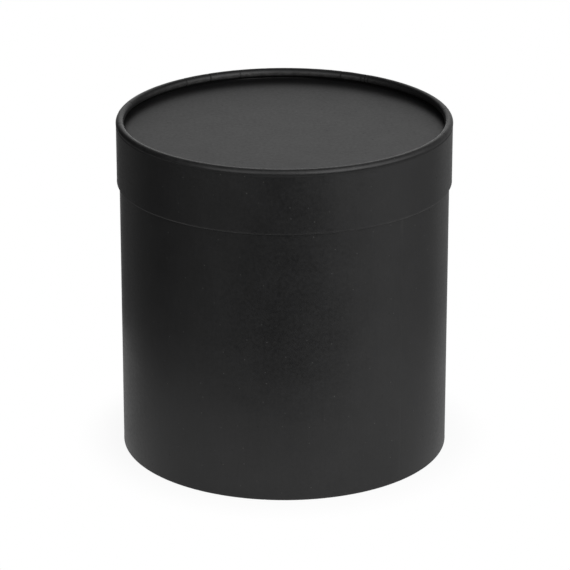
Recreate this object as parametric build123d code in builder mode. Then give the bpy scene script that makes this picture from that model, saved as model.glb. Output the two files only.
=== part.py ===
from build123d import *
import os
from math import radians, sin

# A round gift box: a paper-covered board tube with a push-on lid. The lid's top
# edge is rolled inward over a recessed disc, and its skirt slides down outside the
# base until the disc sits on the base's rim. Every piece is round about the Z axis.
# The origin is the centre of the underside, +Z is up, and sizes are millimetres.

os.makedirs("parts", exist_ok=True)

# Overall sizes
body_diameter = 180.0
base_height = 180.0
lid_height = 35.6

# Sheet stock: papers, the glue film under them, and boards
cover_paper = 0.15
lining_paper = 0.10
glue_film = 0.02
base_board = 1.5
lid_board = 0.8
base_disc_board = 2.0
lid_disc_board = 1.2
board_ease = 0.3

# Fits: the skirt round the base, the lid on the rim, and the discs in their tubes
slip_gap = 0.2
seat_gap = 0.1
disc_fit = 0.05

# Turn-ins of the cover papers, and how far the inner papers stop short
under_turn = 12.0
rim_turn = 14.0
skirt_turn = 12.0
disc_turn = 10.0
underside_margin = 5.0
floor_margin = 0.5
disc_lining_margin = 4.0

# The rolled rim: its thickness, the drop from it to the disc, the slight flare that
# leads into it, and how far it turns from level, over the top and round underneath
roll_diameter = 4.6
disc_recess = 1.5
flare_radius = 11.0
flare_degrees = 7.0
roll_degrees = 280.0

# The cover paper with its glue, and the outer radius of its fold round a board's edge
skin = cover_paper + glue_film
fold_radius = board_ease + skin

# Radii of the base's wall, from its outer face inward
body_radius = body_diameter / 2
base_tube_outer = body_radius - skin
base_tube_inner = base_tube_outer - base_board
base_liner_outer = base_tube_inner - glue_film
base_liner_inner = base_liner_outer - lining_paper
mouth_radius = base_liner_inner - skin
base_disc_radius = base_liner_inner - disc_fit

# Heights in the base: the underside paper lies on the floor at zero
wrap_foot = skin
board_foot = wrap_foot + skin
board_rim = base_height - skin
liner_rim = base_height - fold_radius
base_disc_top = board_foot + base_disc_board
floor_paper_foot = base_disc_top + glue_film

# Radii of the lid's wall, from the base's outer face outward
skirt_mouth_radius = body_radius + slip_gap
lid_liner_inner = skirt_mouth_radius + skin
lid_liner_outer = lid_liner_inner + lining_paper
lid_tube_inner = lid_liner_outer + glue_film
lid_tube_outer = lid_tube_inner + lid_board
lid_radius = lid_tube_outer + skin
lid_disc_radius = lid_liner_inner - disc_fit

# Heights in the lid
disc_seat = base_height + seat_gap
lid_disc_foot = disc_seat + skin
lid_disc_top = lid_disc_foot + lid_disc_board
disc_face = lid_disc_top + skin
roll_underside = disc_face + disc_recess
roll_radius = roll_diameter / 2
total_height = roll_underside + roll_diameter
skirt_edge = total_height - lid_height
flare_rise = (flare_radius + roll_radius) * sin(radians(flare_degrees))
flare_foot = total_height - roll_radius - flare_rise


def base_wrap_face(depth):
    """The base's cover paper at one depth, from the underside up and over the rim."""
    return FilletPolyline(
        (body_radius - under_turn, wrap_foot + depth),
        (body_radius - depth, wrap_foot + depth),
        (body_radius - depth, base_height - depth),
        (mouth_radius + depth, base_height - depth),
        (mouth_radius + depth, base_height - rim_turn),
        radius=fold_radius - depth,
    )


def lid_wrap_skirt(depth):
    """The lid's cover paper at one depth, from inside the skirt round its edge and up."""
    return FilletPolyline(
        (skirt_mouth_radius + depth, skirt_edge + skirt_turn),
        (skirt_mouth_radius + depth, skirt_edge + depth),
        (lid_radius - depth, skirt_edge + depth),
        (lid_radius - depth, flare_foot),
        radius=fold_radius - depth,
    )


def rolled_rim(wall, depth):
    """The flare and the roll that carry on from the top of a wall at one depth."""
    flare = JernArc(wall @ 1, wall % 1, flare_radius + depth, -flare_degrees)
    return JernArc(flare @ 1, flare % 1, roll_radius - depth, flare_degrees + roll_degrees)


def disc_cover_face(depth):
    """The disc's cover paper at one depth, from its centre round the edge and under."""
    return FilletPolyline(
        (0, disc_face - depth),
        (lid_disc_radius - depth, disc_face - depth),
        (lid_disc_radius - depth, disc_seat + depth),
        (lid_disc_radius - disc_turn, disc_seat + depth),
        radius=fold_radius - depth,
    )


# Base tube: wound greyboard, its cut edges eased by the folding of the paper
with BuildPart() as base_tube:
    with BuildSketch(Plane.XY.offset(board_foot)):
        Circle(base_tube_outer)
        Circle(base_tube_inner, mode=Mode.SUBTRACT)
    extrude(amount=board_rim - board_foot)
    fillet(base_tube.edges().filter_by(GeomType.CIRCLE), radius=board_ease)

base_tube.part.label = "base_tube"
export_step(base_tube.part, "parts/base_tube.step")

# Base wrap: cover paper round the tube, turned under the foot and in over the rim
with BuildPart() as base_wrap:
    with BuildSketch(Plane.XZ):
        with BuildLine():
            wrap_out = base_wrap_face(0)
            wrap_in = base_wrap_face(cover_paper)
            Line(wrap_out @ 0, wrap_in @ 0)
            Line(wrap_out @ 1, wrap_in @ 1)
        make_face()
    revolve(axis=Axis.Z)

base_wrap.part.label = "base_wrap"
export_step(base_wrap.part, "parts/base_wrap.step")

# Base liner: the inner paper of the tube, up to the bend of the cover paper
with BuildPart() as base_liner:
    with BuildSketch(Plane.XY.offset(board_foot)):
        Circle(base_liner_outer)
        Circle(base_liner_inner, mode=Mode.SUBTRACT)
    extrude(amount=liner_rim - board_foot)

base_liner.part.label = "base_liner"
export_step(base_liner.part, "parts/base_liner.step")

# Base disc: the board floor, level with the lower end of the tube
with BuildPart() as base_disc:
    with BuildSketch(Plane.XY.offset(board_foot)):
        Circle(base_disc_radius)
    extrude(amount=base_disc_board)
    fillet(base_disc.edges().filter_by(GeomType.CIRCLE), radius=board_ease)

base_disc.part.label = "base_disc"
export_step(base_disc.part, "parts/base_disc.step")

# Base floor paper: lining paper glued over the disc inside
with BuildPart() as base_floor_paper:
    with BuildSketch(Plane.XY.offset(floor_paper_foot)):
        Circle(base_disc_radius - floor_margin)
    extrude(amount=lining_paper)

base_floor_paper.part.label = "base_floor_paper"
export_step(base_floor_paper.part, "parts/base_floor_paper.step")

# Base underside paper: covers the turned-under edge, and is what the box stands on
with BuildPart() as base_underside_paper:
    with BuildSketch(Plane.XY):
        Circle(body_radius - underside_margin)
    extrude(amount=cover_paper)

base_underside_paper.part.label = "base_underside_paper"
export_step(base_underside_paper.part, "parts/base_underside_paper.step")

# Lid tube: thin wound board, its top edge rolled inward into a bead
with BuildPart() as lid_tube:
    with BuildSketch(Plane.XZ) as lid_tube_profile:
        with BuildLine():
            board_out = Line((lid_tube_outer, skirt_edge + skin), (lid_tube_outer, flare_foot))
            board_in = Line((lid_tube_inner, skirt_edge + skin), (lid_tube_inner, flare_foot))
            roll_out = rolled_rim(board_out, skin)
            roll_in = rolled_rim(board_in, skin + lid_board)
            Line(board_out @ 0, board_in @ 0)
            Line(roll_out @ 1, roll_in @ 1)
        make_face()
        fillet(lid_tube_profile.vertices().group_by(Axis.Y)[0], radius=board_ease)
    revolve(axis=Axis.Z)

lid_tube.part.label = "lid_tube"
export_step(lid_tube.part, "parts/lid_tube.step")

# Lid wrap: cover paper on the skirt, turned in at its edge and rolled with the board
with BuildPart() as lid_wrap:
    with BuildSketch(Plane.XZ):
        with BuildLine():
            skirt_out = lid_wrap_skirt(0)
            skirt_in = lid_wrap_skirt(cover_paper)
            bead_out = rolled_rim(skirt_out, 0)
            bead_in = rolled_rim(skirt_in, cover_paper)
            Line(skirt_out @ 0, skirt_in @ 0)
            Line(bead_out @ 1, bead_in @ 1)
        make_face()
    revolve(axis=Axis.Z)

lid_wrap.part.label = "lid_wrap"
export_step(lid_wrap.part, "parts/lid_wrap.step")

# Lid liner: the inner paper of the skirt, up to the underside of the roll
with BuildPart() as lid_liner:
    with BuildSketch(Plane.XY.offset(skirt_edge + fold_radius)):
        Circle(lid_liner_outer)
        Circle(lid_liner_inner, mode=Mode.SUBTRACT)
    extrude(amount=roll_underside - skirt_edge - fold_radius)

lid_liner.part.label = "lid_liner"
export_step(lid_liner.part, "parts/lid_liner.step")

# Lid disc: the board panel that closes the lid under the roll
with BuildPart() as lid_disc:
    with BuildSketch(Plane.XY.offset(lid_disc_foot)):
        Circle(lid_disc_radius - skin)
    extrude(amount=lid_disc_board)
    fillet(lid_disc.edges().filter_by(GeomType.CIRCLE), radius=board_ease)

lid_disc.part.label = "lid_disc"
export_step(lid_disc.part, "parts/lid_disc.step")

# Lid disc cover: the paper face of the disc, folded round its edge and under it
with BuildPart() as lid_disc_cover:
    with BuildSketch(Plane.XZ):
        with BuildLine():
            face_out = disc_cover_face(0)
            face_in = disc_cover_face(cover_paper)
            Line(face_out @ 0, face_in @ 0)
            Line(face_out @ 1, face_in @ 1)
        make_face()
    revolve(axis=Axis.Z)

lid_disc_cover.part.label = "lid_disc_cover"
export_step(lid_disc_cover.part, "parts/lid_disc_cover.step")

# Lid disc lining: the paper inside the lid, which hides the cover paper's cut edge
with BuildPart() as lid_disc_lining:
    with BuildSketch(Plane.XY.offset(disc_seat - glue_film)):
        Circle(lid_disc_radius - disc_lining_margin)
    extrude(amount=-lining_paper)

lid_disc_lining.part.label = "lid_disc_lining"
export_step(lid_disc_lining.part, "parts/lid_disc_lining.step")
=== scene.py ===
"""Looks of the round gift box: black paper over a board tube, with a rolled-rim lid.

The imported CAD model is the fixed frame. The three cover papers that show get their
own meshes, with the folds, pleats, creases and lap seams of the real wrap, and every
other piece keeps its CAD shape and gets a paper or board material.
"""

import math

import bpy
import numpy as np
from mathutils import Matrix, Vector


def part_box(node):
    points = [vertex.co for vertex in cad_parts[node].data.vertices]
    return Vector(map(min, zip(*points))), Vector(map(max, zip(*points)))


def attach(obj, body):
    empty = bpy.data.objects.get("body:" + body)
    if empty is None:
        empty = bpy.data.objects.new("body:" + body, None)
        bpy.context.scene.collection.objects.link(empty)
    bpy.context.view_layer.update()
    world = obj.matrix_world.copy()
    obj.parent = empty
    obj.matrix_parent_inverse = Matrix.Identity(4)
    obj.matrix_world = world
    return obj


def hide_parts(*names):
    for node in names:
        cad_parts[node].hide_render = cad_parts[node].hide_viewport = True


MM = 0.001

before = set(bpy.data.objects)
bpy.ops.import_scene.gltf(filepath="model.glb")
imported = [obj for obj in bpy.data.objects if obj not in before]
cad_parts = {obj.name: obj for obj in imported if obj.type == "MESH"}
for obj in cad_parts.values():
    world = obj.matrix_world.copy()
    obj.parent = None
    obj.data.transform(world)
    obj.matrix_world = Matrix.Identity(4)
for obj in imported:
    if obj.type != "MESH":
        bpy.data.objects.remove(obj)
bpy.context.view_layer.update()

# Paper stock, and the bends that part.py gives it
COVER_PAPER = 0.15 * MM
FOLD_RADIUS = 0.47 * MM
FLARE_RADIUS = 11.0 * MM
FLARE_DEGREES = 7.0
ROLL_RADIUS = 2.3 * MM
ROLL_END_DEGREES = 280.0

# Turn-ins of the cover papers, and the radii where the inner ones lie
UNDER_TURN = 12.0 * MM
RIM_TURN = 14.0 * MM
SKIRT_TURN = 12.0 * MM
DISC_TURN = 10.0 * MM
MOUTH_RADIUS = 88.04 * MM
SKIRT_MOUTH_RADIUS = 90.2 * MM
LID_RADIUS = 91.46 * MM

# Height of the strip of a wall next to a fold, where wear shows
EDGE_STRIP = 1.6 * MM

# The runs that the profiles of the cover papers are joined from
RUNS = (
    "turn_in",
    "turn_under",
    "inner_fold",
    "outer_fold",
    "foot_fold",
    "rim_fold",
    "edge",
    "wall",
    "rim_edge",
    "neck",
    "flare",
    "roll",
    "face",
)

# Sizes read from the frame
base_low, base_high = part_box("base_wrap")
lid_low, lid_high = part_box("lid_wrap")
disc_low, disc_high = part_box("lid_disc_cover")
BODY_RADIUS = base_high.x
WRAP_FOOT = base_low.z
BASE_RIM = base_high.z
SKIRT_EDGE = lid_low.z
LID_TOP = lid_high.z
BEAD_RADIUS = lid_high.x
DISC_RADIUS = disc_high.x
DISC_FACE = disc_high.z
DISC_SEAT = disc_low.z

# Angles are degrees about +Z from +X, so the front is at 270 and the back at 90.
# The cover paper laps over itself along one upright line on each body.
BASE_SEAM = 314.2
LID_SEAM = 60.6
BASE_SEAM_STEP = 0.012 * MM
LID_SEAM_STEP = 0.11 * MM
SEAM_EASE = 9.0 * MM
SEAM_LINE = 0.25 * MM

# Creases across the rolled rim: angle, half width and depth in millimetres, and on
# which side the paper beyond the crease lies a little lower (1 is onward, -1 is back)
ROLL_CREASES = [
    (118.4, 0.30, 0.135, 1),
    (106.7, 0.24, 0.08, -1),
    (68.7, 0.34, 0.12, -1),
    (60.6, 0.30, 0.12, -1),
    (58.9, 0.34, 0.135, 1),
    (57.6, 0.30, 0.12, 1),
    (84.0, 0.20, 0.015, 1),
    (97.5, 0.20, 0.02, -1),
    (128.9, 0.26, 0.11, 1),
    (146.5, 0.25, 0.03, -1),
    (163.0, 0.25, 0.05, 1),
    (187.5, 0.25, 0.04, 1),
    (214.0, 0.20, 0.03, -1),
    (239.0, 0.20, 0.02, 1),
    (262.5, 0.20, 0.015, -1),
    (291.0, 0.20, 0.02, 1),
    (318.5, 0.25, 0.03, -1),
    (341.0, 0.25, 0.05, 1),
    (9.0, 0.25, 0.04, -1),
    (31.5, 0.25, 0.05, 1),
    (44.0, 0.25, 0.04, 1),
]
CREASE_EASE = 3.5 * MM

# Small dents under the rolled rim: angle, height above the floor, then half width,
# half height and depth, all in millimetres
RIM_DENTS = [
    (232.6, 182.4, 0.9, 0.6, 0.13),
    (235.2, 181.0, 0.7, 0.5, 0.11),
    (229.4, 181.7, 0.8, 0.5, 0.09),
    (301.0, 181.9, 0.7, 0.6, 0.07),
]

chance = np.random.default_rng(11)


def pleat_angles(count):
    """Angles of small pleats, roughly even round the box, with their own depths."""
    step = 360 / count
    centres = np.arange(count) * step + chance.uniform(-0.32, 0.32, count) * step
    widths = chance.uniform(0.35, 0.65, count)
    depths = chance.uniform(0.05, 0.13, count)
    return list(zip(centres, widths, depths))


RIM_PLEATS = pleat_angles(38)
FOOT_PLEATS = pleat_angles(44)

# Where stations stand across a crease or a pleat, in half widths
CREASE_STEPS = (-2.6, -1.9, -1.3, -0.85, -0.5, -0.2, 0, 0.2, 0.5, 0.85, 1.3, 1.9, 2.6)
PLEAT_STEPS = (-2.0, -1.1, -0.5, 0, 0.5, 1.1, 2.0)

# The deepest that a mark goes into the cover paper, whose back stays where it is,
# and the scale of each kind of unevenness, which reaches 2 to 3 times as deep
DEEPEST_MARK = 0.135 * MM
SCALLOP_DEPTH = 0.022 * MM
LID_SWAY_DEPTH = 0.035 * MM
BASE_SWAY_DEPTH = 0.04 * MM
DISC_HOLLOW_DEPTH = 0.028 * MM

# How far from a fold its wear reaches
SKIRT_WEAR_REACH = 0.55 * MM
FOOT_WEAR_REACH = 0.45 * MM
RIM_WEAR_REACH = 0.5 * MM

# Bands on the roll, by the way that its surface faces: 0 is outward, 90 up and 180
# to the axis. Each has the degrees of its middle and of its half width.
CROWN_BAND = (60, 45)
BURNISH_BAND = (112, 36)
INNER_BAND = (196, 33)

# The painted highlight along the base's seam starts at this height, and has its full
# strength the second length above it
SEAM_SHOWS_FROM = 140 * MM
SEAM_SHOWS_OVER = 12 * MM

# The lip of the disc's paper: its rise, where it starts inward of the disc's edge, and
# over which length it rises. Then the degrees where it lies, and of the notch in it.
LIP_RISE = 0.7 * MM
LIP_START = 2.3 * MM
LIP_LENGTH = 1.9 * MM
LIP_MIDDLE = 94.5
LIP_HALF_WIDTH = math.radians(15)
LIP_HIGHEST = 106
LIP_HIGH_HALF_WIDTH = math.radians(5)
LIP_NOTCH = 68.7
LIP_NOTCH_HALF_WIDTH = math.radians(0.7)


def around(angle, centre_degrees):
    """Signed angle from a centre, in radians between -pi and pi."""
    return (angle - math.radians(centre_degrees) + math.pi) % (2 * math.pi) - math.pi


def peak(value, centre, reach, power=2):
    """1 at the centre, 0.37 at the reach and near 0 at twice the reach. A power of 4
    makes the top flatter and the sides steeper."""
    return np.exp(-(((value - centre) / reach) ** power))


def stations(start_degrees, count, details, radius, steps=CREASE_STEPS):
    """Angles round the box from a start, closer together where a detail needs it.
    Details are (angle, half width in millimetres, ...)."""
    start = math.radians(start_degrees)
    angles = [2 * math.pi * i / count for i in range(count)]
    for centre, width, *_ in details:
        for step in steps:
            angles.append((math.radians(centre) - start + step * width * MM / radius) % (2 * math.pi))
    angles += [0.05 * MM / radius, 0.14 * MM / radius, 0.3 * MM / radius]
    angles += [SEAM_EASE * share / radius for share in (0.08, 0.2, 0.4, 0.7)]
    angles.sort()
    kept = [0.0]
    for angle in angles:
        if angle - kept[-1] > 0.025 * MM / radius:
            kept.append(angle)
    return np.array(kept) + start


def straight(start, end, count):
    """Points and outward normals along a line, the line's right side facing out."""
    run = np.array(end) - np.array(start)
    heading = run / np.hypot(*run)
    rows = []
    for share in np.linspace(0, 1, count + 1):
        point = np.array(start) + run * share
        rows.append((point[0], point[1], heading[1], -heading[0]))
    return rows


def arc(centre, radius, start_degrees, end_degrees, count, hollow=False):
    """Points and outward normals along an arc; a hollow arc faces its centre."""
    rows = []
    side = -1.0 if hollow else 1.0
    for degrees in np.linspace(start_degrees, end_degrees, count + 1):
        c, s = math.cos(math.radians(degrees)), math.sin(math.radians(degrees))
        rows.append((centre[0] + radius * c, centre[1] + radius * s, side * c, side * s))
    return rows


def joined(**named_runs):
    """One profile from several runs, without doubled points. Each row has its radius,
    height, normal and the place of its run's name in RUNS."""
    rows = []
    for name, run in named_runs.items():
        for row in run:
            if not rows or math.dist(rows[-1][:2], row[:2]) > 1e-7:
                rows.append((*row, RUNS.index(name)))
    return np.array(rows)


def lid_profile():
    """The lid's cover paper: turn-in, fold at the skirt's edge, skirt, flare, roll."""
    low = SKIRT_EDGE + FOLD_RADIUS
    flare_rise = (FLARE_RADIUS + ROLL_RADIUS) * math.sin(math.radians(FLARE_DEGREES))
    flare_foot = LID_TOP - ROLL_RADIUS - flare_rise
    roll_centre = (BEAD_RADIUS - ROLL_RADIUS, LID_TOP - ROLL_RADIUS)
    flare_centre = (LID_RADIUS + FLARE_RADIUS, flare_foot)
    neck_foot = flare_foot - 4 * MM
    return joined(
        turn_in=straight((SKIRT_MOUTH_RADIUS, SKIRT_EDGE + SKIRT_TURN), (SKIRT_MOUTH_RADIUS, low), 4),
        inner_fold=arc((SKIRT_MOUTH_RADIUS + FOLD_RADIUS, low), FOLD_RADIUS, 180, 270, 5),
        outer_fold=arc((LID_RADIUS - FOLD_RADIUS, low), FOLD_RADIUS, 270, 360, 6),
        edge=straight((LID_RADIUS, low), (LID_RADIUS, low + EDGE_STRIP), 4),
        wall=straight((LID_RADIUS, low + EDGE_STRIP), (LID_RADIUS, neck_foot), 8),
        neck=straight((LID_RADIUS, neck_foot), (LID_RADIUS, flare_foot), 10),
        flare=arc(flare_centre, FLARE_RADIUS, 180, 180 - FLARE_DEGREES, 5, hollow=True),
        roll=arc(roll_centre, ROLL_RADIUS, -FLARE_DEGREES, ROLL_END_DEGREES, 36),
    )


def base_profile():
    """The base's cover paper: turn-under, foot, wall, rim and turn-in."""
    outer = BODY_RADIUS - FOLD_RADIUS
    inner = MOUTH_RADIUS + FOLD_RADIUS
    low = WRAP_FOOT + FOLD_RADIUS
    high = BASE_RIM - FOLD_RADIUS
    return joined(
        turn_under=straight((BODY_RADIUS - UNDER_TURN, WRAP_FOOT), (outer, WRAP_FOOT), 5),
        foot_fold=arc((outer, low), FOLD_RADIUS, 270, 360, 6),
        edge=straight((BODY_RADIUS, low), (BODY_RADIUS, low + EDGE_STRIP), 4),
        wall=straight((BODY_RADIUS, low + EDGE_STRIP), (BODY_RADIUS, high - EDGE_STRIP), 16),
        rim_edge=straight((BODY_RADIUS, high - EDGE_STRIP), (BODY_RADIUS, high), 4),
        rim_fold=arc((outer, high), FOLD_RADIUS, 0, 90, 5),
        inner_fold=arc((inner, high), FOLD_RADIUS, 90, 180, 5),
        turn_in=straight((MOUTH_RADIUS, high), (MOUTH_RADIUS, BASE_RIM - RIM_TURN), 5),
    )


def disc_profile():
    """The disc's cover paper: turn-under, edge, and the face inward to near the axis."""
    outer = DISC_RADIUS - FOLD_RADIUS
    turn = DISC_RADIUS - DISC_TURN
    return joined(
        turn_under=straight((turn, DISC_SEAT), (outer, DISC_SEAT), 2),
        foot_fold=arc((outer, DISC_SEAT + FOLD_RADIUS), FOLD_RADIUS, 270, 360, 4),
        rim_fold=arc((outer, DISC_FACE - FOLD_RADIUS), FOLD_RADIUS, 0, 90, 4),
        edge=straight((outer, DISC_FACE), (outer - 3 * MM, DISC_FACE), 12),
        face=straight((outer - 3 * MM, DISC_FACE), (2 * MM, DISC_FACE), 26),
    )


def ripple(angle, along, waves, seed):
    """A smooth uneven surface between -1 and 1 over angle and length, closed round
    the axis: a sum of slow waves with the given numbers per turn."""
    pick = np.random.default_rng(seed)
    total = np.zeros(np.broadcast(angle, along).shape)
    for count in waves:
        phase, lean, sway = pick.uniform(0, 2 * math.pi), pick.uniform(-90, 90), pick.uniform(20, 70)
        total += np.sin(count * angle + phase + lean * along) * np.cos(sway * along + 2 * phase)
    return total / len(waves)


def bumps(angle, radius, details):
    """Narrow grooves at the details' angles, as one depth in metres per station."""
    total = np.zeros_like(angle)
    for centre, width, depth, *_ in details:
        across = around(angle, centre) * radius / (width * MM)
        total += depth * MM * np.exp(-across * across)
    return total


def lap(angle, seam_degrees, radius, depth, length, side=1):
    """How far the paper lies in, just past a seam or pleat, until it is left behind."""
    past = side * (angle - math.radians(seam_degrees)) % (2 * math.pi) * radius
    step = np.clip(past / (0.14 * MM), 0, 1)
    ease = np.clip(1 - past / length, 0, 1)
    return depth * step * ease * ease


def on(profile, *names):
    """1 for the rows of the named runs of a profile, 0 for the others."""
    return np.isin(profile[:, 4], [RUNS.index(name) for name in names]).astype(float)


def swept_sheet(name, profile, angles, inward, rise, marks, flat_map=False):
    """A closed sheet of cover paper round the axis. Its face moves inward along its
    normal and the whole sheet rises, in metres for each station and row. Marks are
    further values for the material, from 0 up. The map is in metres: round the box and along
    the profile, or for a disc simply x and y."""
    rows, turns = len(profile), len(angles)
    steps = np.hypot(*np.diff(profile[:, :2], axis=0).T)
    lengths = np.concatenate([[0], np.cumsum(steps)])
    radius, height, normal_r, normal_z = profile[:, :4].T
    c, s = np.cos(angles)[:, None], np.sin(angles)[:, None]
    points = np.zeros((turns, 2, rows, 3))
    face_radius = radius - normal_r * inward
    back_radius = np.broadcast_to(radius - normal_r * COVER_PAPER, (turns, rows))
    points[:, 0, :, 0] = face_radius * c
    points[:, 0, :, 1] = face_radius * s
    points[:, 0, :, 2] = height - normal_z * inward + rise
    points[:, 1, :, 0] = back_radius * c
    points[:, 1, :, 1] = back_radius * s
    points[:, 1, :, 2] = height - normal_z * COVER_PAPER + rise
    to_axis = profile[-1, 0] < 3 * MM

    def at(i, side, j):
        """Number of the point at a station, a side (0 face, 1 back) and a row."""
        return ((i % turns) * 2 + side) * rows + j

    faces, flat, places = [], [], []
    last = rows - 1
    for i in range(turns):
        for j in range(last):
            faces.append((at(i, 0, j), at(i + 1, 0, j), at(i + 1, 0, j + 1), at(i, 0, j + 1)))
            faces.append((at(i, 1, j + 1), at(i + 1, 1, j + 1), at(i + 1, 1, j), at(i, 1, j)))
            places.append(((i, j), (i + 1, j), (i + 1, j + 1), (i, j + 1)))
            places.append(((i, j + 1), (i + 1, j + 1), (i + 1, j), (i, j)))
            flat += [False, False]
        faces.append((at(i, 1, 0), at(i + 1, 1, 0), at(i + 1, 0, 0), at(i, 0, 0)))
        places.append(((i, 0), (i + 1, 0), (i + 1, 0), (i, 0)))
        flat.append(True)
        if not to_axis:
            faces.append((at(i, 0, last), at(i + 1, 0, last), at(i + 1, 1, last), at(i, 1, last)))
            places.append(((i, last), (i + 1, last), (i + 1, last), (i, last)))
            flat.append(True)
    if to_axis:
        faces.append(tuple(at(i, 0, last) for i in range(turns)))
        places.append(tuple((i, last) for i in range(turns)))
        faces.append(tuple(at(i, 1, last) for i in reversed(range(turns))))
        places.append(tuple((i, last) for i in reversed(range(turns))))
        flat += [False, False]

    mesh = bpy.data.meshes.new(name)
    mesh.from_pydata(points.reshape(-1, 3).tolist(), [], faces)
    mesh.polygons.foreach_set("use_smooth", [not f for f in flat])
    round_box = np.append(angles, angles[0] + 2 * math.pi) - angles[0]
    values = []
    for face in places:
        for i, j in face:
            if flat_map:
                values += [radius[j] * math.cos(angles[i % turns]), radius[j] * math.sin(angles[i % turns])]
            else:
                values += [round_box[i] * BODY_RADIUS, lengths[j]]
    mesh.uv_layers.new(name="paper_map").data.foreach_set("uv", values)
    for mark, share in marks.items():
        layer = mesh.attributes.new(mark, "FLOAT", "POINT")
        both = np.repeat(np.broadcast_to(share, (turns, rows))[:, None, :], 2, axis=1)
        layer.data.foreach_set("value", both.reshape(-1).astype(np.float32))
    mesh.update()
    piece = bpy.data.objects.new(name, mesh)
    bpy.context.scene.collection.objects.link(piece)
    return piece


def limited(inward):
    """Keeps the face inside the CAD surface and outside the paper's own back."""
    return np.clip(inward, 0, DEEPEST_MARK)


def make_lid_cover():
    """The lid's cover paper, with creases and folds across the roll, dents under it,
    the seam's step, and the marks of wear, burnish, painted light on the roll's inner side and painted
    shade in the creases and under the roll."""
    profile = lid_profile()
    details = [(a, w) for a, w, *_ in ROLL_CREASES] + [(a, w) for a, _, w, *_ in RIM_DENTS]
    angles = stations(LID_SEAM, 270, details, BEAD_RADIUS)
    a = angles[:, None]
    z = profile[None, :, 1]
    on_roll = on(profile, "roll")
    on_flare = on(profile, "flare")
    on_skirt = on(profile, "edge", "wall", "neck")
    turn = np.degrees(np.arctan2(profile[:, 3], profile[:, 2])) % 360
    # Creases fade in where the flare runs into the roll
    from_foot = np.where(turn > 300, turn - 360, turn)
    over_roll = on_roll * np.clip((from_foot + 12) / 30, 0, 1)
    creases = bumps(angles, BEAD_RADIUS, ROLL_CREASES)[:, None] * (over_roll + 0.25 * on_flare)
    folds = np.zeros_like(angles)
    for centre, _, depth, side in ROLL_CREASES:
        folds += lap(angles, centre, BEAD_RADIUS, 0.75 * depth * MM, CREASE_EASE, side)
    folds = folds[:, None] * over_roll
    scallops = SCALLOP_DEPTH * (1 + ripple(a, z, [61, 83, 97, 131], 3)) * over_roll
    sway = LID_SWAY_DEPTH * (1 + ripple(a, z, [5, 9, 14, 23, 31], 4)) * (on_skirt + on_flare * 0.5)
    dents = np.zeros((len(angles), len(profile)))
    for centre, high, width, tall, depth in RIM_DENTS:
        across = around(a, centre) * BEAD_RADIUS / (width * MM)
        up = (z - high * MM) / (tall * MM)
        dents += depth * MM * np.exp(-across * across - up * up)
    dents *= on_skirt + on_flare
    step = lap(angles, LID_SEAM, LID_RADIUS, LID_SEAM_STEP, SEAM_EASE)[:, None]
    step = step * (on_skirt + on_flare + on_roll + on(profile, "outer_fold"))
    inward = limited(creases + folds + scallops + sway + dents + step)
    # The fold at the skirt's edge is worn, but less so round the front
    front = peak(around(a, 277), 0, math.radians(32), 4)
    fold = peak(z, SKIRT_EDGE, SKIRT_WEAR_REACH) * (1 - 0.75 * front)
    fold = fold * on(profile, "inner_fold", "outer_fold", "edge")
    crown = on_roll * peak(turn, *CROWN_BAND) * 0.22
    # The crest is burnished on the near half, a little unevenly
    near_half = np.clip(0.65 - 0.75 * np.sin(a), 0, 1)
    breaks = 0.9 + 0.2 * ripple(a, z, [17, 29, 43, 71], 9)
    burnish = on_roll * peak(turn, *BURNISH_BAND, 4) * near_half * breaks
    # Painted shade on the flare and the foot of the roll, under the roll's overhang
    painted_shade_under_roll = 0.45 * (on_flare + on_roll * (turn > 340))
    # Painted light: the roll's inner side is painted paler at the back, most of all to the
    # left of the middle as the camera sees it
    degrees = np.degrees(around(a, 90)) + 90
    painted_light_level = 0.74 + 0.3 * peak(degrees, 113, 17)
    painted_light_level = painted_light_level - 0.42 * np.clip((80 - degrees) / 35, 0, 1)
    at_back = np.clip(1.2 - (np.abs(degrees - 95) / 62) ** 3, 0, 1)
    painted_light_inner_side = on_roll * peak(turn, *INNER_BAND, 4) * painted_light_level * at_back
    seam_edge = peak(around(angles, LID_SEAM) * LID_RADIUS, 0, SEAM_LINE)[:, None]
    # The wear mark holds real wear and painted light; the crease mark holds painted shade
    marks = {
        "wear_and_painted_light": np.clip(fold + crown + painted_light_inner_side + 0.5 * seam_edge, 0, 1),
        "burnish": np.clip(burnish, 0, 1),
        "painted_crease_shade": np.clip(creases / (0.07 * MM) + painted_shade_under_roll, 0, 1),
    }
    return swept_sheet("lid_cover", profile, angles, inward, 0.0, marks)


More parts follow.
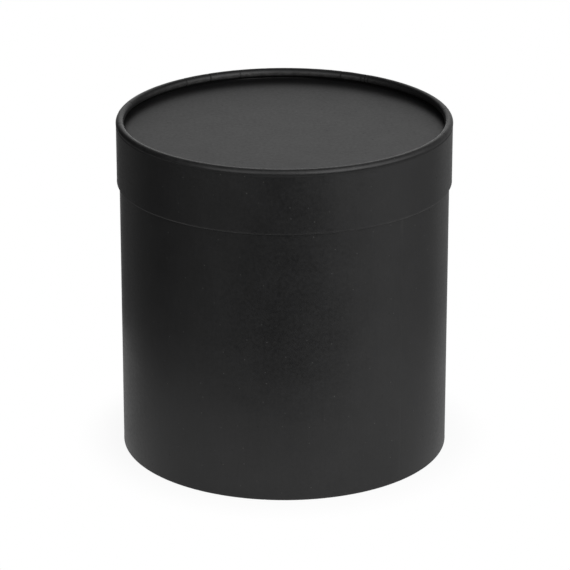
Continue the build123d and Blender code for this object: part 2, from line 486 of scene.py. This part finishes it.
def make_base_cover():
    """The base's cover paper, with pleats where it is turned in and under, the seam's
    step, and the marks of wear, a painted highlight along the seam and painted shade in the pleats."""
    profile = base_profile()
    details = [(a, w) for a, w, _ in RIM_PLEATS + FOOT_PLEATS]
    angles = stations(BASE_SEAM, 240, details, BODY_RADIUS, PLEAT_STEPS)
    a = angles[:, None]
    z = profile[None, :, 1]
    on_wall = on(profile, "edge", "wall", "rim_edge")
    turned_in = on(profile, "turn_in") + 0.6 * on(profile, "inner_fold")
    under_fold = on(profile, "foot_fold") * (profile[:, 1] < WRAP_FOOT + 0.2 * MM)
    turned_under = on(profile, "turn_under") + 0.5 * under_fold
    pleats = bumps(angles, MOUTH_RADIUS, RIM_PLEATS)[:, None] * turned_in
    tucks = bumps(angles, BODY_RADIUS, FOOT_PLEATS)[:, None] * turned_under
    sway = BASE_SWAY_DEPTH * (1 + ripple(a, z, [4, 7, 11, 19, 29], 5)) * on_wall
    step = lap(angles, BASE_SEAM, BODY_RADIUS, BASE_SEAM_STEP, SEAM_EASE)[:, None]
    step = step * (on_wall + on(profile, "foot_fold", "rim_fold"))
    inward = limited(pleats + tucks + sway + step)
    foot = 0.6 * peak(z, WRAP_FOOT, FOOT_WEAR_REACH) * on(profile, "foot_fold", "edge")
    rim = 0.8 * peak(z, BASE_RIM, RIM_WEAR_REACH)
    rim = rim * on(profile, "rim_edge", "rim_fold", "inner_fold")
    seam_edge = peak(around(angles, BASE_SEAM) * BODY_RADIUS, 0, SEAM_LINE)[:, None]
    # Painted highlight along the seam near the top of the wall
    seam_painted_highlight = seam_edge * on_wall * np.clip((z - SEAM_SHOWS_FROM) / SEAM_SHOWS_OVER, 0, 1)
    marks = {
        "wear_and_painted_light": np.clip(foot + rim + 0.3 * seam_painted_highlight, 0, 1),
        # Painted shade in the pleats of the turn-in and turn-under
        "painted_crease_shade": np.clip((pleats + tucks) / (0.12 * MM), 0, 1),
    }
    return swept_sheet("base_cover", profile, angles, inward, 0.0, marks)


def make_disc_cover():
    """The disc's cover paper, slightly hollow in places, with a low lip at the back whose top carries a
    painted highlight.
    """
    profile = disc_profile()
    angles = stations(LID_SEAM, 320, [(LIP_NOTCH, 0.6)], DISC_RADIUS)
    a = angles[:, None]
    r = profile[None, :, 0]
    on_face = on(profile, "edge", "face")
    up_edge = on(profile, "rim_fold", "edge")
    x, y = r * np.cos(a), r * np.sin(a)
    hollow = np.sin(70 * x + 1.3) * np.sin(55 * y + 0.4) + 0.6 * np.sin(120 * x - 90 * y)
    from_edge = np.clip((DISC_RADIUS - FOLD_RADIUS - r) / (4 * MM), 0, 1)
    inward = limited(DISC_HOLLOW_DEPTH * (1.3 + hollow) * on_face * from_edge)
    # The cut edge of the rolled paper presses the disc's paper up into a low lip
    edge = np.clip((r - (DISC_RADIUS - LIP_START)) / LIP_LENGTH, 0, 1)
    far = peak(around(a, LIP_MIDDLE), 0, LIP_HALF_WIDTH, 4)
    strong = 0.65 + 0.35 * peak(around(a, LIP_HIGHEST), 0, LIP_HIGH_HALF_WIDTH)
    low_lip = 0.03 * (1 + ripple(a, r * 0, [7, 12, 18, 25], 8))
    notch = 1 - 0.9 * peak(around(a, LIP_NOTCH), 0, LIP_NOTCH_HALF_WIDTH)
    rise = LIP_RISE * edge ** 2 * (far * strong + (1 - far) * low_lip) * notch * up_edge
    marks = {
        # Painted highlight along the top of the lip at the back
        "wear_and_painted_light": 1.3 * peak(edge, 0.85, 0.13) * far * notch * on(profile, "edge"),
        "painted_crease_shade": np.zeros((len(angles), len(profile))),
    }
    return swept_sheet("disc_cover", profile, angles, inward, rise, marks, flat_map=True)


lid_cover = make_lid_cover()
base_cover = make_base_cover()
disc_cover = make_disc_cover()
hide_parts("lid_wrap")
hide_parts("base_wrap")
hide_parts("lid_disc_cover")
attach(lid_cover, "lid")
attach(base_cover, "base")
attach(disc_cover, "lid")


def feed(tree, socket, value):
    """Gives a node's input a plain value or another node's output."""
    if isinstance(value, bpy.types.NodeSocket):
        tree.links.new(value, socket)
    else:
        socket.default_value = value


def node(tree, kind, values, **settings):
    """A new node with its settings and the values of its inputs, by name or number."""
    made = tree.nodes.new(kind)
    for name, setting in settings.items():
        setattr(made, name, setting)
    for name, value in values.items():
        feed(tree, made.inputs[name], value)
    return made


def sums(tree, operation, first, *others):
    """Values joined by one arithmetic operation, from the first to the last."""
    for value in others:
        first = node(tree, "ShaderNodeMath", {0: first, 1: value}, operation=operation).outputs[0]
    return first


def ranged(tree, value, low, high, to_low, to_high, smooth=False):
    """A value mapped from one range to another and held within it."""
    inputs = {"Value": value, "From Min": low, "From Max": high, "To Min": to_low, "To Max": to_high}
    kind = "SMOOTHSTEP" if smooth else "LINEAR"
    return node(tree, "ShaderNodeMapRange", inputs, interpolation_type=kind).outputs["Result"]


def swung(tree, noise, span, middle, swing):
    """A noise's usual span as a value that swings evenly about a middle."""
    return ranged(tree, noise, *span, middle - swing, middle + swing)


def mark_of(tree, name):
    """A mark that a mesh carries, or 0 where it has none of that name."""
    return node(tree, "ShaderNodeAttribute", {}, attribute_name=name).outputs["Fac"]


def cloud(tree, place, per_metre, detail, rough=0.5):
    """Procedural noise with a number of cells per metre of surface."""
    inputs = {"Vector": place, "Scale": per_metre, "Detail": detail, "Roughness": rough}
    return node(tree, "ShaderNodeTexNoise", inputs).outputs[0]


def stretched(tree, place, turn_degrees, shrink):
    """The same place turned, then shrunk along one way, so that noise on it is long."""
    turned = {"Vector": place, "Rotation": (0, 0, math.radians(turn_degrees))}
    first = node(tree, "ShaderNodeMapping", turned).outputs[0]
    return node(tree, "ShaderNodeMapping", {"Vector": first, "Scale": (shrink, 1, 1)}).outputs[0]


def fibres(tree, place, per_metre):
    """Three crossed layers of long thin noise, as the felt of a paper's surface."""
    layers = [cloud(tree, stretched(tree, place, turn, 0.14), per_metre, 3) for turn in (12, 71, -48)]
    return sums(tree, "ADD", sums(tree, "ADD", layers[0], layers[1]), layers[2])


def specks(tree, place, per_metre, reach):
    """Small round specks scattered over a surface, one to a cell, from faint to full."""
    inputs = {"Vector": place, "Scale": per_metre, "Randomness": 1.0}
    cells = node(tree, "ShaderNodeTexVoronoi", inputs, voronoi_dimensions="2D")
    widest = reach * per_metre
    spot = ranged(tree, cells.outputs["Distance"], 0.35 * widest, widest, 1, 0)
    chosen = node(tree, "ShaderNodeSeparateColor", {0: cells.outputs["Color"]}).outputs[0]
    return sums(tree, "MULTIPLY", spot, ranged(tree, chosen, 0.2, 1.0, 0, 1))


def blend(tree, share, first, second):
    """A colour between two others, the second one at a share of 1."""
    inputs = {0: share, 6: first, 7: second}
    return node(tree, "ShaderNodeMix", inputs, data_type="RGBA").outputs[2]


def tinted(tree, colour, strength):
    """A colour made darker or lighter by a value near 1."""
    scaled = node(tree, "ShaderNodeVectorMath", {0: colour, "Scale": strength}, operation="SCALE")
    return scaled.outputs[0]


def new_material(name):
    """A material with its node tree and its shader."""
    material = bpy.data.materials.new(name)
    material.use_nodes = True
    tree = material.node_tree
    return material, tree, tree.nodes["Principled BSDF"]


def relief(tree, shader, layers):
    """Bump layers on a shader: pairs of height and its depth in metres."""
    normal = None
    for height, depth in layers:
        inputs = {"Height": height, "Distance": depth, "Strength": 1.0}
        if normal is not None:
            inputs["Normal"] = normal
        normal = node(tree, "ShaderNodeBump", inputs).outputs[0]
    tree.links.new(normal, shader.inputs["Normal"])


# The span that a noise mostly keeps to, and that of the three fibre layers together
NOISE_SPAN = (0.3, 0.7)
FELT_SPAN = (1.2, 1.8)

# Cover paper: its black, roughness and gloss, and the colours of its marks
PAPER_BLACK = (0.0080, 0.0080, 0.0082)
PAPER_ROUGHNESS = 0.39
PAPER_SPECULAR = 0.3
PALE_SPECK = (0.095, 0.094, 0.092, 1)
DULL_SPECK = (0.0025, 0.0025, 0.0025, 1)
# Pale colour for worn folds, and for painted light on the roll's inner side, the base's seam and the disc's
# lip
WORN_AND_PAINTED_LIGHT_PAPER = (0.062, 0.061, 0.060, 1)
# Painted shade for the creases, the pleats and the foot of the roll
CREASE_PAINTED_SHADE = (0.003, 0.003, 0.003, 1)

# Cells per metre of the cover paper's patterns
FELT_CELLS = 2600
MOTTLE_CELLS = 520
PATCH_CELLS = 62
STREAK_CELLS = 700
WEAR_CELLS = 260
PALE_SPECK_CELLS = 84
DULL_SPECK_CELLS = 66

# Lining paper and greyboard
LINING_BLACK = (0.012, 0.0118, 0.0117)
LINING_SPECULAR = 0.2
LID_LINING_SPECULAR = 0.04
# Painted shade for the lining in the groove under the roll
PAINTED_SHADE_BLACK = (0.003, 0.003, 0.003, 1)
PAINTED_SHADE_EDGE = 0.2 * MM
BOARD_GREY = (0.27, 0.24, 0.2)
BOARD_PALE = (0.46, 0.43, 0.38, 1)
BOARD_DARK = (0.06, 0.055, 0.05, 1)
BOARD_SPECULAR = 0.3


def cover_paper_material(name, place_socket):
    """Matte black cover paper: felt fibres, soft mottle and patches, faint streaks
    along the web, pale and dull specks, paler worn folds, paler marks that are painted
    light, a burnished crest and creases darkened as painted shade. Its place is the
    paper's own map ("UV") or the object's ("Object")."""
    material, tree, paper = new_material(name)
    if place_socket == "UV":
        place = node(tree, "ShaderNodeUVMap", {}, uv_map="paper_map").outputs[0]
    else:
        place = node(tree, "ShaderNodeTexCoord", {}).outputs["Object"]
    felt = fibres(tree, place, FELT_CELLS)
    mottle = cloud(tree, place, MOTTLE_CELLS, 3)
    patches = cloud(tree, place, PATCH_CELLS, 2)
    streaks = cloud(tree, stretched(tree, place, 90, 0.09), STREAK_CELLS, 2)
    pale = specks(tree, place, PALE_SPECK_CELLS, 0.36 * MM)
    dull = specks(tree, stretched(tree, place, 37, 0.6), DULL_SPECK_CELLS, 0.45 * MM)
    painted_crease_shade = mark_of(tree, "painted_crease_shade")

    tone = sums(
        tree,
        "MULTIPLY",
        swung(tree, mottle, NOISE_SPAN, 1, 0.10),
        swung(tree, patches, NOISE_SPAN, 1, 0.10),
        swung(tree, streaks, NOISE_SPAN, 1, 0.06),
        swung(tree, felt, FELT_SPAN, 1, 0.14),
    )
    colour = tinted(tree, PAPER_BLACK, tone)
    colour = blend(tree, sums(tree, "MULTIPLY", pale, 0.6), colour, PALE_SPECK)
    colour = blend(tree, sums(tree, "MULTIPLY", dull, 0.8), colour, DULL_SPECK)
    broken = ranged(tree, cloud(tree, place, WEAR_CELLS, 4, 0.65), 0.40, 0.66, 0.3, 0.75)
    wear_and_painted_light_share = sums(tree, "MULTIPLY", mark_of(tree, "wear_and_painted_light"), broken)
    # Real wear and, on some marks, painted light turn the paper paler
    colour = blend(tree, wear_and_painted_light_share, colour, WORN_AND_PAINTED_LIGHT_PAPER)
    # Painted shade: the crease mark turns the paper near black in creases, pleats and under the roll
    colour = blend(tree, sums(tree, "MULTIPLY", painted_crease_shade, 0.95), colour, CREASE_PAINTED_SHADE)
    tree.links.new(colour, paper.inputs["Base Color"])

    roughness = sums(
        tree,
        "ADD",
        swung(tree, mottle, NOISE_SPAN, PAPER_ROUGHNESS, 0.035),
        swung(tree, felt, FELT_SPAN, 0, 0.03),
        swung(tree, patches, NOISE_SPAN, 0, 0.014),
        sums(tree, "MULTIPLY", wear_and_painted_light_share, 0.18),
        sums(tree, "MULTIPLY", dull, 0.22),
        sums(tree, "MULTIPLY", painted_crease_shade, 0.5),
        sums(tree, "MULTIPLY", mark_of(tree, "burnish"), -0.2),
    )
    tree.links.new(roughness, paper.inputs["Roughness"])
    paper.inputs["Specular IOR Level"].default_value = PAPER_SPECULAR
    depths = [
        (patches, 0.070 * MM),
        (mottle, 0.014 * MM),
        (streaks, 0.007 * MM),
        (felt, 0.006 * MM),
    ]
    relief(tree, paper, depths)
    return material


def lining_paper_material(name, specular, painted_shade_above=None):
    """Dark uncoated lining paper, a little browner and duller than the cover paper.
    Above a given height it is painted near black, as painted shade in the groove under the roll."""
    material, tree, paper = new_material(name)
    place = node(tree, "ShaderNodeTexCoord", {}).outputs["Object"]
    felt = fibres(tree, place, 1900)
    mottle = cloud(tree, place, 300, 3)
    patches = cloud(tree, place, 30, 2)
    tone = sums(
        tree,
        "MULTIPLY",
        swung(tree, mottle, NOISE_SPAN, 1, 0.18),
        swung(tree, felt, FELT_SPAN, 1, 0.15),
        swung(tree, patches, NOISE_SPAN, 1, 0.07),
    )
    colour = tinted(tree, LINING_BLACK, tone)
    if painted_shade_above is not None:
        height = node(tree, "ShaderNodeSeparateXYZ", {0: place}).outputs["Z"]
        # Painted shade above the given height
        painted_shade = ranged(tree, height, painted_shade_above - PAINTED_SHADE_EDGE, painted_shade_above + PAINTED_SHADE_EDGE, 0, 1)
        colour = blend(tree, painted_shade, colour, PAINTED_SHADE_BLACK)
    tree.links.new(colour, paper.inputs["Base Color"])
    tree.links.new(swung(tree, mottle, NOISE_SPAN, 0.73, 0.07), paper.inputs["Roughness"])
    paper.inputs["Specular IOR Level"].default_value = specular
    relief(tree, paper, [(mottle, 0.02 * MM), (felt, 0.006 * MM)])
    return material


def greyboard_material():
    """Raw greyboard: grey-brown, with pale and dark specks of recycled fibre."""
    material, tree, board = new_material("greyboard")
    place = node(tree, "ShaderNodeTexCoord", {}).outputs["Object"]
    felt = fibres(tree, place, 900)
    mottle = cloud(tree, place, 140, 4, 0.6)
    pale = cloud(tree, place, 1100, 1)
    dark = cloud(tree, stretched(tree, place, 30, 0.3), 1700, 1)
    tone = sums(
        tree,
        "MULTIPLY",
        swung(tree, mottle, NOISE_SPAN, 1, 0.16),
        swung(tree, felt, FELT_SPAN, 1, 0.14),
    )
    colour = tinted(tree, BOARD_GREY, tone)
    colour = blend(tree, ranged(tree, pale, 0.68, 0.76, 0, 0.6), colour, BOARD_PALE)
    colour = blend(tree, ranged(tree, dark, 0.70, 0.78, 0, 0.7), colour, BOARD_DARK)
    tree.links.new(colour, board.inputs["Base Color"])
    tree.links.new(swung(tree, mottle, NOISE_SPAN, 0.85, 0.07), board.inputs["Roughness"])
    board.inputs["Specular IOR Level"].default_value = BOARD_SPECULAR
    relief(tree, board, [(mottle, 0.05 * MM), (felt, 0.02 * MM)])
    return material


black_paper = cover_paper_material("cover_paper", "UV")
foot_paper = cover_paper_material("cover_paper_flat", "Object")
lining = lining_paper_material("lining_paper", LINING_SPECULAR)
lid_lining = lining_paper_material("lining_paper_lid", LID_LINING_SPECULAR, DISC_SEAT)
board = greyboard_material()
for piece in (lid_cover, base_cover, disc_cover):
    piece.data.materials.append(black_paper)
dressed = {
    "base_tube": board,
    "base_disc": board,
    "lid_tube": board,
    "lid_disc": board,
    "base_liner": lining,
    "base_floor_paper": lining,
    "base_underside_paper": foot_paper,
    "lid_liner": lid_lining,
    "lid_disc_lining": lining,
}
for name, material in dressed.items():
    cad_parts[name].material_slots[0].link = "OBJECT"
    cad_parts[name].material_slots[0].material = material

# Floor: shown white to the camera but for the contact shadow near the box's foot, and
# clear to it from below. It lies just under the foot. In the paper's gloss its front
# is brighter than its back.
FLOOR_RADIUS = 0.22
FLOOR_CORNERS = 128
FLOOR_DROP = 0.05 * MM
FLOOR_GREY = (0.8, 0.8, 0.8, 1)
SHADOW_FROM = 0.088
SHADOW_TO = 0.120
WHITE_NEAR_FOOT = 0.92
FLOOR_MIRRORED_FRONT = 0.95
FLOOR_MIRRORED_BACK = 0.52
MIRRORED_FRONT_Y = -0.13
mesh = bpy.data.meshes.new("floor")
ring = [2 * math.pi * i / FLOOR_CORNERS for i in range(FLOOR_CORNERS)]
ring = [(FLOOR_RADIUS * math.cos(angle), FLOOR_RADIUS * math.sin(angle), 0) for angle in ring]
mesh.from_pydata(ring, [], [tuple(range(FLOOR_CORNERS))])
floor = bpy.data.objects.new("floor", mesh)
floor.location.z = -FLOOR_DROP
bpy.context.scene.collection.objects.link(floor)
material = bpy.data.materials.new("floor")
material.use_nodes = True
tree = material.node_tree
tree.nodes.clear()
path = node(tree, "ShaderNodeLightPath", {})
mirrored = sums(tree, "MAXIMUM", path.outputs["Is Glossy Ray"], path.outputs["Is Transmission Ray"])
place = node(tree, "ShaderNodeTexCoord", {}).outputs["Object"]
distance = node(tree, "ShaderNodeVectorMath", {0: place}, operation="LENGTH").outputs["Value"]
whiter = ranged(tree, distance, SHADOW_FROM, SHADOW_TO, WHITE_NEAR_FOOT, 1, smooth=True)
shown = sums(tree, "MULTIPLY", path.outputs["Is Camera Ray"], whiter)
shown = sums(tree, "MAXIMUM", shown, mirrored)
forward = node(tree, "ShaderNodeSeparateXYZ", {0: place}).outputs["Y"]
levels = (FLOOR_MIRRORED_FRONT, FLOOR_MIRRORED_BACK)
mirrored_level = ranged(tree, forward, MIRRORED_FRONT_Y, 0, *levels)
strength = sums(tree, "MAXIMUM", mirrored_level, path.outputs["Is Camera Ray"])
diffuse = node(tree, "ShaderNodeBsdfDiffuse", {"Color": FLOOR_GREY}).outputs[0]
white = node(tree, "ShaderNodeEmission", {"Strength": strength}).outputs[0]
surface = node(tree, "ShaderNodeMixShader", {0: shown, 1: diffuse, 2: white}).outputs[0]
below = node(tree, "ShaderNodeNewGeometry", {}).outputs["Backfacing"]
below = sums(tree, "MULTIPLY", below, path.outputs["Is Camera Ray"])
clear_pane = node(tree, "ShaderNodeBsdfTransparent", {}).outputs[0]
surface = node(tree, "ShaderNodeMixShader", {0: below, 1: surface, 2: clear_pane}).outputs[0]
node(tree, "ShaderNodeOutputMaterial", {"Surface": surface})
mesh.materials.append(material)

# Soft light of the room, and the backdrop, which is white to the camera. In the
# paper's gloss the backdrop has the levels below, with a small bright patch low down.
# Each row is a patch of light: its direction seen from above, 0 being the camera's,
# its elevation and its level. The core is the share of its reach at full level.
PATCH_DEGREES = 33.0
PATCH_CORE = 0.12
ROOM = [
    (90, 16, 0.61),
    (90, -8, 0.75),
    (60, -8, 0.77),
    (60, 66, 0.30),
    (0, 66, 0.28),
    (300, 66, 0.12),
    (300, 16, 0.13),
    (300, -8, 0.29),
    (270, -32, 0.14),
    (225, -32, 0.25),
    (135, -32, 0.36),
]
BACKDROP = [
    (180, 16, 0.41),
    (180, 42, 0.48),
    (150, 16, 0.23),
    (150, -8, 0.19),
    (180, -32, 0.08),
]
HORIZON = [(180, -8, 1.1)]
HORIZON_DEGREES = 26.0


def patches_of_light(tree, way, rows, reach):
    """The summed level of round patches of light with soft edges, by direction."""
    total = 0.0
    outer = math.cos(math.radians(reach))
    inner = math.cos(math.radians(PATCH_CORE * reach))
    for degrees, elevation, level in rows:
        a, e = math.radians(degrees), math.radians(elevation)
        aim = (math.sin(a) * math.cos(e), -math.cos(a) * math.cos(e), math.sin(e))
        lean = node(tree, "ShaderNodeVectorMath", {0: way, 1: aim}, operation="DOT_PRODUCT")
        patch = ranged(tree, lean.outputs["Value"], outer, inner, 0, level, smooth=True)
        total = sums(tree, "ADD", total, patch)
    return total


world = bpy.data.worlds.new("studio")
bpy.context.scene.world = world
world.use_nodes = True
tree = world.node_tree
tree.nodes.clear()
path = node(tree, "ShaderNodeLightPath", {})
mirrored = sums(tree, "MAXIMUM", path.outputs["Is Glossy Ray"], path.outputs["Is Transmission Ray"])
way = node(tree, "ShaderNodeTexCoord", {}).outputs["Generated"]
behind = patches_of_light(tree, way, BACKDROP, PATCH_DEGREES)
horizon = patches_of_light(tree, way, HORIZON, HORIZON_DEGREES)
behind = sums(tree, "MAXIMUM", behind, horizon)
shown = sums(tree, "MAXIMUM", path.outputs["Is Camera Ray"], sums(tree, "MULTIPLY", behind, mirrored))
around_it = patches_of_light(tree, way, ROOM, PATCH_DEGREES)
room = node(tree, "ShaderNodeBackground", {"Strength": around_it}).outputs[0]
white = node(tree, "ShaderNodeBackground", {"Color": (1, 1, 1, 1), "Strength": 1.0}).outputs[0]
seen = node(tree, "ShaderNodeMixShader", {0: shown, 1: room, 2: white}).outputs[0]
node(tree, "ShaderNodeOutputWorld", {"Surface": seen})

# Softboxes: round area lamps in front, mostly to the right. Each row has its
# direction and elevation in degrees, and its power in watts.
SOFTBOX_DISTANCE = 1.6
SOFTBOX_DIAMETER = 1.29
SOFTBOXES = [
    (30, 16, 12.4),
    (60, 16, 5.8),
    (72, 42, 2.3),
    (36, 42, 5.6),
    (0, 42, 1.9),
    (-36, 42, 1.7),
    (-30, 16, 8.1),
]


def softbox(name, degrees, elevation, power):
    """A round area lamp aimed at the middle of the box."""
    lamp = bpy.data.lights.new(name, "AREA")
    lamp.shape = "DISK"
    lamp.size = SOFTBOX_DIAMETER
    lamp.energy = power
    holder = bpy.data.objects.new(name, lamp)
    bpy.context.scene.collection.objects.link(holder)
    a, e = math.radians(degrees), math.radians(elevation)
    aim = Vector((0, 0, LID_TOP / 2))
    way = Vector((math.sin(a) * math.cos(e), -math.cos(a) * math.cos(e), math.sin(e)))
    holder.location = aim + way * SOFTBOX_DISTANCE
    holder.rotation_euler = way.to_track_quat("Z", "Y").to_euler()


for number, (degrees, elevation, power) in enumerate(SOFTBOXES):
    softbox(f"softbox_{number + 1}", degrees, elevation, power)

# Camera at the photograph's viewing angle
CAMERA_ELEVATION = 20.735
CAMERA_DISTANCE = 1855.7 * MM
CAMERA_AIM = Vector((0.323 * MM, 0, 89.89 * MM))
CAMERA_SENSOR = 36.0
CAMERA_LENS = 212.03
camera = bpy.data.objects.new("camera", bpy.data.cameras.new("camera"))
bpy.context.scene.collection.objects.link(camera)
camera.data.sensor_width = CAMERA_SENSOR
camera.data.lens = CAMERA_LENS
e = math.radians(CAMERA_ELEVATION)
back = Vector((0, -math.cos(e), math.sin(e)))
camera.location = CAMERA_AIM + back * CAMERA_DISTANCE
camera.rotation_euler = back.to_track_quat("Z", "Y").to_euler()
bpy.context.scene.camera = camera

bpy.context.scene.view_settings.view_transform = "Standard"
